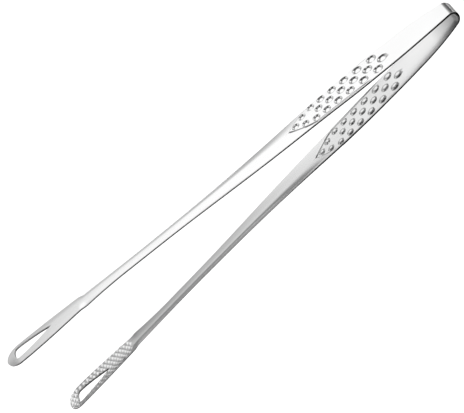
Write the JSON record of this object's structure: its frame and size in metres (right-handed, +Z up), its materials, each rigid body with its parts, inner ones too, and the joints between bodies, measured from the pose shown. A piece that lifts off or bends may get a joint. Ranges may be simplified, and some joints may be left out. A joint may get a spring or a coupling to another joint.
{
  "type": "kitchen tongs",
  "caption": "Long hairpin spring tongs pressed from one stainless strip, with dimpled grips, gutter-section shanks and slotted, cross-cut jaws.",
  "frame": {"origin": "centre of the outline on the surface that the lower arm lies on", "axes": "+X towards the spring bow, the tips towards -X, +Y across the strip, +Z up from the lower arm to the upper arm"},
  "size_m": [0.271, 0.0182, 0.0451],
  "materials": {
    "bow_steel": "polished stainless steel",
    "upper_arm_steel": "polished stainless steel",
    "lower_arm_steel": "polished stainless steel"
  },
  "bodies": {
    "bow": {"spring_bow": "bow_steel"},
    "upper": {"upper_arm": "upper_arm_steel"},
    "lower": {"lower_arm": "lower_arm_steel"}
  },
  "joints": [
    {"name": "upper_arm_squeeze", "type": "hinge", "parent": "bow", "child": "upper", "pos_m": [0.12417, 0, 0.00969], "axis": [0, -1, 0], "range_deg": [-3, 4.4], "stiffness_Nm_per_rad": 6},
    {"name": "lower_arm_squeeze", "type": "hinge", "parent": "bow", "child": "lower", "pos_m": [0.1236, 0, 0.00127], "axis": [0, 1, 0], "range_deg": [-3, 4.4], "stiffness_Nm_per_rad": 6}
  ],
  "couplings": [
    {"joint": "lower_arm_squeeze", "follows": "upper_arm_squeeze", "ratio": 1}
  ]
}
